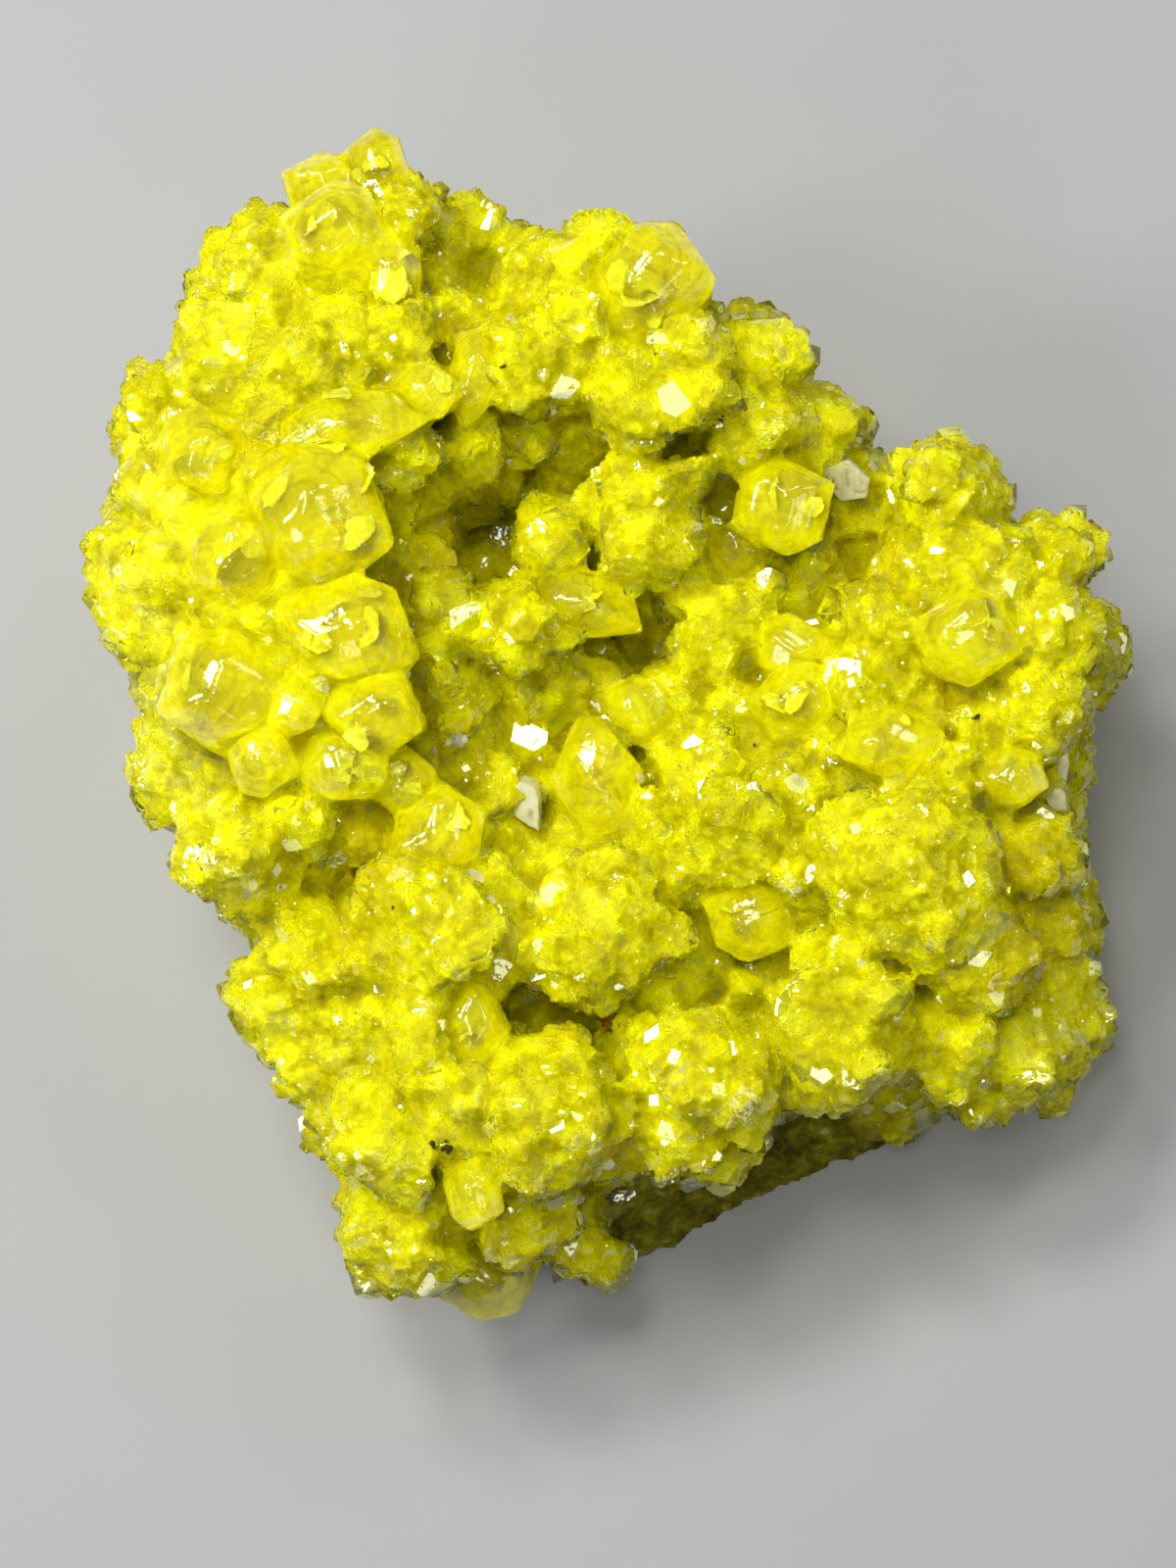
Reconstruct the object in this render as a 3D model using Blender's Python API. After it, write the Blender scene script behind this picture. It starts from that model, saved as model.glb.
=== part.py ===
"""A hand specimen of native sulfur: glassy crystals and sugary lumps on a block of massive sulfur.

The block is laid out square on to its crystal face: u runs to the right, v up the face and w out of it,
in millimetres from the middle of the face. It is then leaned back to lie on its flat underside at z = 0.
"""

import math
import random

import bmesh
import bpy
import numpy as np
from mathutils import Euler, Matrix, Vector, noise

MM = 0.001
FACE_LEAN = Euler((math.radians(15), math.radians(8), 0))  # turns u, v, w into x, y, z
FACE_MIDDLE = Vector((0.7, -1.5, 31.0))  # where u = v = w = 0 lies at rest, in mm above the underside
GAP = 0.3  # between a calcite chip and its socket
CUTTER = 150  # side of the boxes that break the walls and cut the underside flat

SEGMENTS, RINGS = 42, 15  # of the block's skin
RIM_START, RIM_DROP = 0.78, 7.0  # the face rolls over its rim from this share of its reach, in mm
FOOT_REACH, WALL_CURVE = 0.88, 1.5  # the walls draw in towards the underside, faster as they go down
WALL_SHARE = 0.75  # of the lower half of the skin; the rest closes it below the underside
BELOW = 2  # how far the skin runs past the underside, to be cut off there
KNOB_COUNT, KNOB_RADIUS, KNOB_SINK = 14, 7, 0.95  # half-broken knobs of massive sulfur round the walls
FACE_GRAIN, FACE_ROUGHNESS = 5, 1.0  # swells of the skin between the crystals, in mm
WALL_GRAIN, WALL_ROUGHNESS = 8, 2.4
SPREAD = 1.14  # crystals are this much wider than what shows of them
SINK = {"glassy": 0.22, "sugary": 0.50, "pointed": 0.3}  # and sit this share of their size deeper
LEANS = (0.5, 0.4, 0.5)  # how far a crystal may lean about each axis, in radians
POINTED_LEAN = math.radians(70)
TWIN_FACES = (0.93, 1.05)  # a face's distance, as a share of its form's
LUMP_JOG, LUMP_FACES, LUMP_COUNT = 0.25, (0.8, 0.95), 7.5  # uneven directions, distances and number of faces
KNOB_SIZES, KNOB_LENGTH, KNOB_HEIGHTS, KNOB_FACES = (0.75, 1.25), 1.4, (0.4, 0.55, 0.7), 10
CHIP_LEAN, CHIP_SKEW, CHIP_FACE, CHIP_CORNER = (0.25, -0.2), 0.16, 0.96, 0.74

# The rim of the block, anticlockwise, as seen square on.
OUTLINE = [
    (47.5, 5.2), (46, 10.5), (44.3, 17), (40.5, 21), (36, 25), (31, 25.4), (27, 25), (22, 29.5),
    (17.3, 35), (12, 38.2), (8, 41), (5, 45), (0, 47), (-6.2, 45), (-11.5, 49), (-16, 50),
    (-21.3, 54.5), (-26, 52.5), (-31.5, 49), (-35, 43), (-38, 37), (-42.5, 33), (-45.5, 28), (-47.3, 21),
    (-48, 13), (-45, 7), (-43, 0.5), (-40, -9), (-36, -17.5), (-33, -26), (-29.5, -31.5), (-25.5, -38),
    (-23.5, -44), (-19.5, -49.5), (-13, -54.5), (-8, -54), (-3, -54), (3, -51.5), (10, -50.5), (17, -47.5),
    (24, -44.5), (31, -39.5), (38, -37), (43.5, -32), (44.3, -24), (46, -14), (47.4, -6), (46.5, 0),
]
BLOCK_REACH = 0.985  # of the outline, whose rim the crystals reach
# Where the crystals overhang a bare broken wall: from one bearing to the other, the face stops short.
OVERHANG = (math.radians(-101), math.radians(-50), 0.80)  # first bearing, last bearing, share of the reach
OVERHANG_END, OVERHANG_EASE = 1.25, 0.35  # where it has faded out and over how much, in half spans

# Slow swells and hollows of the crystal face: u, v, radius, height.
SWELLS = [
    (-30, 10, 19, 9), (-27, 27, 10, 3), (-9, -36, 14, 6), (26, -15, 13, 6), (3, 41, 9, 4),
    (-26, 46, 10, 2), (37, 6, 10, 2), (6, -31, 8, 3), (0, -17, 7, 2), (3.5, 17.5, 3.5, 5), (-5, 15, 3, 3),
]
HOLLOWS = [
    (0, 10, 20, -7), (-12, 18.5, 6.5, -15), (-3, 24, 7, -7), (7, 23.5, 4.5, -7), (3, 9, 4.5, -7),
    (-9, -1, 6, -4), (14.7, 15.5, 3.5, -5), (24.5, 18.5, 6, -9), (-5, -26.5, 6, -9), (3, -25.5, 6, -5),
    (-21.5, -13.5, 3.5, -8), (-27.5, -14, 4, -4), (31, 3, 3.5, -4), (20, 12, 5, -4), (17, -22, 6, -6),
    (22, -7, 4, -3), (-15, 43, 6, -5), (-10, 41, 6, -4), (12, -40, 12, -6), (40, -14, 7, -5),
]
# Broken faces of the walls: outward direction in u, v, w and distance from the middle.
FRACTURES = [
    ((1, 0.12, -0.42), 43), ((0.75, 0.66, -0.30), 37.5), ((0.15, 1, -0.35), 49), ((-0.72, 0.70, -0.35), 57),
    ((-1, -0.1, -0.45), 47.5), ((-0.85, -0.52, -0.4), 44), ((0.1, -1, -0.2), 53.5), ((0.6, -0.8, -0.3), 51),
]

# Crystals and lumps: u, v, half width, half height, how far the middle stands above the face, turn in degrees.
GLASSY = [
    (-26, 19.3, 5.4, 5.8, 1.5, 0), (-23.5, 9, 5.2, 4.3, 1.5, -10), (-35, 3.5, 4.7, 4.7, 0.5, 0),
    (-21.5, 1.5, 4, 3.7, 2, 10), (-24, -3.3, 4.2, 2.8, 1.5, -15), (-31.5, -2.5, 2.8, 3.3, 1, 0),
    (-28.5, 2, 2.4, 2.4, 1, 0), (-18.6, -5, 2.3, 2.8, 2, 0), (-24, 27.5, 6, 2.7, 1, 12),
    (-37, 25.5, 3.7, 3.7, 0, 0), (-33.8, 15.5, 4, 4.4, 0, 0), (-12.5, 32.5, 2, 3.8, 3, -8),
    (-16.6, 30.8, 2.6, 2.6, 3, 0), (16.3, 20.8, 3.8, 3.9, 3, 0), (12, 17, 2.5, 2.8, 2, 0),
    (-2.2, 11.7, 4.9, 2.6, 5, -12), (-1, -4.2, 3.2, 4.8, 4, 10), (17, 7.6, 2.8, 2.8, 2, 0),
    (17.5, 2.7, 3.2, 3.2, 2, 0), (3, 2, 2.9, 2.9, 3, 0), (33, 8.5, 3.9, 3.9, 2.5, 0),
    (26, -1.3, 4, 2.9, 2, 0), (-15.7, -10, 3.7, 4.4, 3, 0), (-12.5, -27, 2.5, 4, 3, 0),
    (13.3, -17.3, 3.4, 3.2, 3, 0), (-20, 41.5, 2.5, 4.2, 2, 8), (4, 41, 4.6, 5.2, 0.5, 0),
    (-12.2, -42, 2.3, 3.2, 1.5, 0), (-21.4, 52, 2.6, 3.6, 1, 0), (-26.3, 50.5, 3.2, 2.9, 0.5, 0),
    (37, -4.5, 2.7, 2.5, 1.5, 0), (-11.7, -51, 4.4, 4, 1, 0), (-25, 46, 4, 3.6, 2, 0),
]
SUGARY = [
    (2.8, 30.5, 3.2, 4.9, 4, 0), (8.3, 33.5, 2.6, 4.1, 2.5, 0), (3.2, 18.8, 3.3, 4.4, 3.5, 0),
    (-8, 9.2, 3.6, 3.7, 5, 0), (-5, 16.5, 2.4, 3.4, 5, 0), (7.6, 14, 2.2, 2.8, 1.8, 0),
    (13, 11.4, 3, 2.8, 2.5, 0), (10.8, 7, 3, 2.7, 2.5, 0), (9.8, -4, 3.4, 3, 2, 0), (-8, 34, 4.9, 3.5, 3, 0),
    (-13.5, 27, 3.2, 3.2, 1, 0), (-27.5, 32.5, 4.4, 4.2, 1, 0), (-0.5, 43.5, 3.9, 3.9, 1, 0),
    (-6, 41.5, 3.8, 3.6, 2, 0), (15, 33.3, 3.3, 3.8, 1, 0), (12.6, 27.5, 2.9, 2.9, 2, 0),
    (20.7, 28.5, 2.7, 3.2, 0.5, 0), (32.4, 22, 4.2, 4.4, 2.5, 0), (41, 9.5, 4, 4.1, 2, 0),
    (44.6, 7, 3.2, 3.2, -2, 0), (25.5, 9.5, 3.2, 2.9, 2, 0), (23.5, 4, 3.4, 2.7, 1.5, 0),
    (39.8, 2.2, 3.5, 3.3, 1, 0), (0.3, -18, 5.8, 6, 3.5, 0), (10.8, -10.8, 5.1, 4.4, 2.5, 0),
    (27.7, -13.2, 7.3, 6.9, 2.5, 0), (22.3, -27, 6, 6.6, 5, 0), (34.3, -21.5, 4.2, 4.4, 2, 0),
    (9.3, -31.7, 5.8, 5.2, 4.5, 0), (6, -36.6, 2.8, 3, 6, 0), (11.2, -36.6, 2.8, 3, 6, 0),
    (27.8, -35, 4, 4, 1, 0), (-6, -35.3, 5.8, 6.6, 2, 0), (-19, -45.2, 5, 5.2, 1.5, 0),
    (-15.7, -18.6, 3.8, 4.4, 2.5, 0), (-10.2, -18.8, 2.8, 5, 1.5, 0), (-16.8, -27, 3.6, 4, 2.5, 0),
    (-29.8, -25, 4.2, 4.2, 1, 0), (-25.3, -28.5, 3.6, 3.6, 1, 0), (-27, -20.8, 3.8, 3.4, 1, 0),
    (-20.5, -36, 5.2, 4, 1.5, 8), (-24.8, -36.5, 3, 3.4, 0, 0), (1.3, -38.3, 3, 2.8, 2, 0),
    (-12.5, -33, 3.4, 4, 1, 0), (-33.5, -10, 5.4, 5.6, 1, 0), (-28.5, -8, 3.2, 3, 0.5, 0),
    (-42, 14, 4.6, 5.2, 0, 0), (-40.5, 22, 4.2, 4.6, 0, 0), (-41, 29.5, 3.6, 3.6, 0, 0),
    (-34.5, 34.5, 4.6, 4.4, 0, 0), (-31.5, 43.5, 4, 4.2, 0.5, 0), (-20.2, 48, 3.4, 3.4, 1, 0),
    (-13.6, 47, 3.4, 2.8, 1, 0), (-15, 38, 3.6, 3.4, 1, 0), (-22.5, 36, 4.2, 3.8, 1, 0),
    (-39.5, -3.5, 3.6, 4.2, -1, 0), (-36, 40, 2.6, 3, -1, 0), (37.5, -11, 4.2, 4.4, 1, 0),
    (39.5, -18, 3.6, 4.2, 0, 0), (38.5, -29, 4.6, 4.4, 0, 0), (32, -29.5, 4, 3.8, 1, 0),
    (40.5, 15.5, 3.8, 3.6, 0, 0), (35.8, 15.8, 3.6, 3.4, 0.5, 0), (18, -12.5, 2.8, 3, 1.5, 0),
    (17.5, -5.5, 3.2, 2.8, 1, 0), (31, -5, 3, 3, 1, 0), (4, -11, 2.8, 2.6, 1, 0), (-2.3, 3.6, 2.4, 2.4, 1.5, 0),
    (8, 2, 2.4, 2.4, 1.5, 0), (20.5, 14.3, 2.2, 2, 1, 0), (28.5, 15.3, 3.2, 3, 0.5, 0),
    (-2.5, 37, 3.6, 3, 1, 0), (5, -25, 2.8, 2.2, 1.5, 0), (14.5, -23.5, 3, 2.8, 1, 0),
    (-15.5, 9, 2.3, 3, 1, 0), (-14, 3, 2.6, 2.4, 1, 0), (-17.5, 15, 2, 3.4, 1, 0), (-12.6, 24.5, 2.6, 2.2, 1, 0),
    (-7.5, 28, 2.7, 2.4, 1, 0), (-3.3, 27.3, 2.4, 2.3, 1, 0), (-12, -5, 2.4, 2.2, 0.5, 0),
    (-9.8, 14.5, 2, 1.8, 0.5, 0), (0.8, 24, 2.2, 2, 0.5, 0), (-12, -14, 2.6, 2, 1, 0),
]
POINTED = [
    (-3.6, -45.4, 2.3, 4.8, 1.5, 6), (-8.2, -44.6, 3.4, 4, 1.5, -10), (13.5, 37, 2.2, 2.6, 0, 30),
    (-9.3, 45.5, 2.2, 2.4, 0, 0), (22.2, -21, 2.2, 2.4, 4.5, 20), (16.2, -29.5, 2.4, 2, 2, 0),
    (-22.8, -9.8, 2.4, 2, 1, 0), (-19, 25.8, 2.6, 2.4, 1, 0), (-30, 27, 2.6, 2.4, 0, 0),
    (-4.4, 20.6, 1.5, 3.4, 4, 0), (6.5, -13.8, 2.4, 1.8, 1.5, 0), (-7.6, -1.2, 2, 2, 1.5, 0),
    (42.6, -28.8, 2.4, 2.4, 0, 0), (35.5, -34, 2.6, 2, 0, 0), (16, 28.8, 2.2, 2.2, 1, 0),
]
# Calcite chips: u, v, half width, half height, half depth, how far the middle stands above the face, turn.
CHIPS = {
    "calcite_chip_white": (-7.7, -6.8, 1.6, 2.4, 1.3, 1.5, 14),
    "calcite_plate_upper": (22, 23.3, 2.8, 2.4, 0.7, 1.0, 35),
    "calcite_chip_lower": (16.2, -34, 1.8, 1.4, 1.2, 2.5, 10),
    "calcite_chip_right": (41.3, -6.2, 1.2, 1.4, 1.0, 0.8, 0),
    "calcite_blade_right": (42, -2.8, 0.7, 2.0, 0.9, 0.9, 0),
}

# Orthorhombic sulfur: axis ratios, and the faces of its dipyramid with how far each lies from the middle.
AXES = Vector((0.813, 1.0, 1.903))
FORMS = [((1, 1, 1), 0.94), ((1, 1, 3), 0.98), ((0, 1, 1), 0.95), ((0, 0, 1), 1.02)]


def clear_scene():
    for old in list(bpy.data.objects):
        bpy.data.objects.remove(old)


def collection(name):
    made = bpy.data.collections.new(name)
    bpy.context.scene.collection.children.link(made)
    return made


def material(name, colour, roughness):
    made = bpy.data.materials.new(name)
    made.use_nodes = True
    shader = made.node_tree.nodes["Principled BSDF"]
    shader.inputs["Base Color"].default_value = (*colour, 1)
    shader.inputs["Roughness"].default_value = roughness
    shader.inputs["Metallic"].default_value = 0
    return made


def at_rest(point):
    """From face coordinates in mm to the resting place in metres."""
    return MM * (FACE_LEAN.to_matrix() @ Vector(point) + FACE_MIDDLE)


def underside_w(u, v):
    """The w at which the underside lies beneath a point of the face."""
    up = FACE_LEAN.to_matrix()[2]
    return -(FACE_MIDDLE.z + up[0] * u + up[1] * v) / up[2]


def reach(bearing):
    """How far the rim lies from the middle in a direction across the face."""
    bearings = [math.atan2(v, u) for u, v in OUTLINE]
    reaches = [math.hypot(u, v) for u, v in OUTLINE]
    return BLOCK_REACH * float(np.interp(bearing, *zip(*sorted(zip(bearings, reaches))), period=math.tau))


def overhung(bearing):
    """1 where the crystals overhang the bare wall, 0 where they don't."""
    first, last, _ = OVERHANG
    middle, half = (first + last) / 2, (last - first) / 2
    return min(1, max(0, OVERHANG_END - abs(bearing - middle) / half) / OVERHANG_EASE)


def face_reach(bearing):
    """As reach, drawn in smoothly where the crystals overhang a bare wall."""
    return reach(bearing) * (1 - (1 - OVERHANG[2]) * overhung(bearing))


def landscape(u, v):
    """Height of the crystal face, with its swells and hollows, at a point across it."""
    height = 2.0
    for centre_u, centre_v, radius, rise in SWELLS + HOLLOWS:
        height += rise * math.exp(-((u - centre_u) ** 2 + (v - centre_v) ** 2) / radius**2)
    share = math.hypot(u, v) / face_reach(math.atan2(v, u))
    return height - RIM_DROP * max(0, (share - RIM_START) / (1 - RIM_START)) ** 2


def wall_point(bearing, down):
    """A point of the wall, from the rim of the face at down = 0 to just below the underside at 1."""
    across = Vector((math.cos(bearing), math.sin(bearing)))
    rim = across * face_reach(bearing)
    foot = across * reach(bearing) * (FOOT_REACH + (1 - FOOT_REACH) * overhung(bearing))
    u, v = rim.lerp(foot, down**WALL_CURVE)
    return Vector((u, v, landscape(*rim) * (1 - down) + (underside_w(u, v) - BELOW) * down))


def rough(point, grain, height):
    """A jog in a direction of its own for each place, in swells about as wide as the grain."""
    spots = (point / grain + Vector((shift, 2 * shift, -shift)) for shift in (11.3, 37.1, 61.7))
    return 2 * height * Vector(noise.noise(spot) for spot in spots)


def block_mesh():
    """The massive sulfur: a sphere drawn out to the rim, the face, the walls and the underside."""
    mesh = bmesh.new()
    bmesh.ops.create_uvsphere(mesh, u_segments=SEGMENTS, v_segments=RINGS, radius=1)
    for vertex in mesh.verts:
        bearing = math.atan2(vertex.co.y, vertex.co.x)
        latitude = math.asin(max(-1, min(1, vertex.co.z))) / (math.pi / 2)
        across = Vector((math.cos(bearing), math.sin(bearing)))
        if latitude >= 0:
            u, v = across * face_reach(bearing) * (1 - latitude)
            w = landscape(u, v)
        else:
            down = min(1, -latitude / WALL_SHARE)
            u, v, w = wall_point(bearing, down)
            if down == 1:
                towards_middle = (1 + latitude) / (1 - WALL_SHARE)
                u, v = u * towards_middle, v * towards_middle
                w = underside_w(u, v) - BELOW
        point = Vector((u, v, w))
        if latitude > 1 / RINGS:
            point += rough(point, FACE_GRAIN, FACE_ROUGHNESS)
        else:
            point += rough(point, WALL_GRAIN, WALL_ROUGHNESS)
        vertex.co = point
    return mesh


def cut_by(planes):
    """A closed solid bounded by planes, each a direction and its distance from the middle."""
    mesh = bmesh.new()
    bmesh.ops.create_cube(mesh, size=4)
    for direction, distance in planes:
        everything = mesh.verts[:] + mesh.edges[:] + mesh.faces[:]
        cut = bmesh.ops.bisect_plane(
            mesh, geom=everything, dist=1e-5, plane_co=direction * distance, plane_no=direction, clear_outer=True
        )
        rim = [edge for edge in cut["geom_cut"] if isinstance(edge, bmesh.types.BMEdge)]
        if rim:
            bmesh.ops.contextual_create(mesh, geom=rim)
    bmesh.ops.remove_doubles(mesh, verts=mesh.verts, dist=0.02)
    bmesh.ops.recalc_face_normals(mesh, faces=mesh.faces)
    return mesh


def crystal_planes(chance, forms):
    """The faces of one dipyramid, each a little nearer or farther than its twin."""
    planes = []
    for indices, distance in forms:
        for signs in ((x, y, z) for x in (1, -1) for y in (1, -1) for z in (1, -1)):
            direction = Vector(s * h / a for s, h, a in zip(signs, indices, AXES)).normalized()
            if all((direction - other).length > 0.01 for other, _ in planes):
                planes.append((direction, distance * chance.uniform(*TWIN_FACES)))
    return planes


def lump_planes(chance, count):
    """Directions spread evenly round a ball and then jogged, for a lump of grown-together grains."""
    planes = []
    for i in range(count):
        height = 1 - 2 * (i + 0.5) / count
        bearing = i * math.pi * (3 - math.sqrt(5))
        ring = math.sqrt(1 - height * height)
        jog = Vector(chance.uniform(-LUMP_JOG, LUMP_JOG) for _ in range(3))
        direction = (Vector((ring * math.cos(bearing), ring * math.sin(bearing), height)) + jog).normalized()
        planes.append((direction, chance.uniform(*LUMP_FACES)))
    return planes


def grown(row, kind, chance):
    """One crystal or lump, in face coordinates, standing on the landscape."""
    u, v, half_u, half_v, proud, turn = row
    if kind == "sugary":
        mesh = cut_by(lump_planes(chance, round(LUMP_COUNT + (half_u + half_v) / 2)))
        spin = Matrix.Rotation(chance.uniform(0, math.tau), 3, "Z")
    else:
        mesh = cut_by(crystal_planes(chance, FORMS))
        leans = [chance.uniform(-most, most) for most in LEANS]
        spin = Euler(leans).to_matrix()
        if kind == "pointed":
            spin = Euler((POINTED_LEAN + leans[0], 0, 0)).to_matrix()
    size = Matrix.Diagonal((half_u, half_v, (half_u + half_v) / 2)) * SPREAD
    shape = Matrix.Rotation(math.radians(turn), 3, "Z") @ size @ spin
    place = Vector((u, v, landscape(u, v) + proud - SINK[kind] * (half_u + half_v) / 2))
    for vertex in mesh.verts:
        vertex.co = shape @ vertex.co + place
    return mesh


def wall_knob(number, chance):
    """One broken knob, mostly sunk in the wall."""
    bearing = math.tau * (number + chance.uniform(-0.3, 0.3)) / KNOB_COUNT
    radius = KNOB_RADIUS * chance.uniform(*KNOB_SIZES)
    place = wall_point(bearing, chance.choice(KNOB_HEIGHTS))
    inward = Vector((-place.x, -place.y, 0)).normalized()
    mesh = cut_by(lump_planes(chance, KNOB_FACES))
    shape = Matrix.Rotation(bearing, 3, "Z") @ Matrix.Diagonal((radius, KNOB_LENGTH * radius, radius))
    for vertex in mesh.verts:
        vertex.co = shape @ vertex.co + place + inward * KNOB_SINK * radius
    return mesh


def chip_mesh(row, extra):
    """A cleaved slab with two bevelled corners; extra makes it larger all round."""
    u, v, half_u, half_v, half_w, proud, turn = row
    halves = Vector((half_u, half_v, half_w))
    planes = []
    for axis in range(3):
        for sign in (1, -1):
            direction = Vector((0.0, 0.0, 0.0))
            direction[axis] = sign
            direction[(axis + 1) % 3] = CHIP_SKEW * sign
            planes.append((direction.normalized(), halves[axis] * CHIP_FACE + extra))
    for corner in (Vector((1, 0.8, 0.3)), Vector((-1, -0.6, 0.2))):
        direction = corner.normalized()
        across = abs(direction.x * half_u) + abs(direction.y * half_v)
        planes.append((direction, CHIP_CORNER * across + extra))
    mesh = cut_by(planes)
    shape = Euler((*CHIP_LEAN, math.radians(turn))).to_matrix()
    place = Vector((u, v, landscape(u, v) + proud))
    for vertex in mesh.verts:
        vertex.co = shape @ vertex.co + place
    return mesh


def half_space(direction, distance):
    """A large box that fills everything beyond a plane, in face coordinates."""
    turn = Vector(direction).to_track_quat("Z", "Y").to_matrix().to_4x4()
    mesh = bmesh.new()
    beyond = Matrix.Translation((0, 0, distance + CUTTER / 2))
    bmesh.ops.create_cube(mesh, size=CUTTER, matrix=turn @ beyond)
    return mesh


def as_object(name, mesh, home, finish):
    """Moves a mesh in face coordinates to its resting place and makes it an object."""
    for vertex in mesh.verts:
        vertex.co = at_rest(vertex.co)
    data = bpy.data.meshes.new(name)
    mesh.to_mesh(data)
    mesh.free()
    made = bpy.data.objects.new(name, data)
    made.data.materials.append(finish)
    home.objects.link(made)
    return made


def islands(mesh):
    """The connected pieces of a mesh, each a set of points."""
    left, found = set(mesh.verts), []
    while left:
        edge, island = [left.pop()], set()
        while edge:
            point = edge.pop()
            island.add(point)
            near = {link.other_vert(point) for link in point.link_edges} & left
            left -= near
            edge += near
        found.append(island)
    return found


def settle(target):
    """Applies the modifiers, fills pockets sealed in between crystals and drops points on straight edges."""
    evaluated = target.evaluated_get(bpy.context.evaluated_depsgraph_get())
    joined = bpy.data.meshes.new_from_object(evaluated)
    target.modifiers.clear()
    mesh = bmesh.new()
    mesh.from_mesh(joined)
    inner = sorted(islands(mesh), key=len)[:-1]
    bmesh.ops.delete(mesh, geom=[point for island in inner for point in island], context="VERTS")
    bmesh.ops.dissolve_verts(mesh, verts=[point for point in mesh.verts if len(point.link_edges) == 2])
    bmesh.ops.triangulate(mesh, faces=mesh.faces)
    mesh.to_mesh(joined)
    mesh.free()
    target.data = joined


def boolean(target, name, operation, operand):
    cut = target.modifiers.new(name, "BOOLEAN")
    cut.operation = operation
    if isinstance(operand, bpy.types.Collection):
        cut.operand_type = "COLLECTION"
        cut.collection = operand
    else:
        cut.object = operand
    return cut


def helper(made):
    made.hide_render = True
    made.display_type = "WIRE"
    return made


def build():
    clear_scene()
    names = ("sulfur_specimen", "crystals_to_join", "broken_walls", "cutters")
    specimen, crystals, breaks, cutters = map(collection, names)
    sulfur = material("native_sulfur", (0.83, 0.78, 0.01), 0.3)
    calcite = material("calcite", (0.82, 0.80, 0.62), 0.35)

    cluster = as_object("sulfur_cluster", block_mesh(), specimen, sulfur)
    chance = random.Random(7)
    for kind, rows in (("glassy", GLASSY), ("sugary", SUGARY), ("pointed", POINTED)):
        for number, row in enumerate(rows, 1):
            helper(as_object(f"{kind}_{number}", grown(row, kind, chance), crystals, sulfur))
    for number, (direction, distance) in enumerate(FRACTURES, 1):
        helper(as_object(f"break_{number}", half_space(direction, distance), breaks, sulfur))
    boolean(cluster, "break the walls", "DIFFERENCE", breaks)
    for number in range(KNOB_COUNT):
        helper(as_object(f"knob_{number + 1}", wall_knob(number, chance), crystals, sulfur))
    boolean(cluster, "join the crystals", "UNION", crystals)
    settle(cluster)

    for name, row in CHIPS.items():
        as_object(name, chip_mesh(row, 0), specimen, calcite)
        helper(as_object(name + "_socket", chip_mesh(row, GAP), cutters, calcite))
    down = FACE_LEAN.to_matrix().inverted() @ Vector((0, 0, -1))
    helper(as_object("underside_cutter", half_space(down, FACE_MIDDLE.z), cutters, sulfur))
    boolean(cluster, "cut the underside and the sockets", "DIFFERENCE", cutters)
    settle(cluster)
    for hidden in (crystals, breaks, cutters):
        hidden.hide_render = True


build()
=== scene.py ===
"""The looks of a native sulfur specimen: massive sulfur under sugary and glassy crystals, with calcite chips.

Places on the crystal face are u to the right, v up the face and w out of it, in mm from the face's middle,
as in the solids. Everything rests on the flat underside at z = 0.
"""

import math
import random

import bmesh
import bpy
import numpy as np
from mathutils import Euler, Matrix, Vector, noise
from mathutils.kdtree import KDTree


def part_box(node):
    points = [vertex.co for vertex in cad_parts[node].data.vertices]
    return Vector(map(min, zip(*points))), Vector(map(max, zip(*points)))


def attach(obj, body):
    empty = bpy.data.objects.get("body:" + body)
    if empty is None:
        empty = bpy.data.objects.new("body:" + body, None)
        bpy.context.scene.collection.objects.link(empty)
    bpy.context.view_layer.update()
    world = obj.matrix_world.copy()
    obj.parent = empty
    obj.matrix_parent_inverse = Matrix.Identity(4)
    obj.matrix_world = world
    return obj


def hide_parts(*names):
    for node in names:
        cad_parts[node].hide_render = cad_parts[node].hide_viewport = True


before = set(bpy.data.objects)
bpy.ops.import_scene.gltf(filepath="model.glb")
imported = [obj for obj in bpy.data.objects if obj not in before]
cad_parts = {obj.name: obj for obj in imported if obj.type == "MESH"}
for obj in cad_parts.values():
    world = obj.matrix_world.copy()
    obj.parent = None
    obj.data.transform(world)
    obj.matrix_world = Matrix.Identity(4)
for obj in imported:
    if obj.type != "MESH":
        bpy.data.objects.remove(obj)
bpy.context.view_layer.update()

MM = 0.001
FACE_LEAN = Euler((math.radians(15), math.radians(8), 0))  # turns u, v, w into x, y, z
FACE_MIDDLE = np.array((0.7, -1.5, 31.0))  # where u = v = w = 0 lies at rest, in mm
TURN = np.array(FACE_LEAN.to_matrix())

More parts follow.
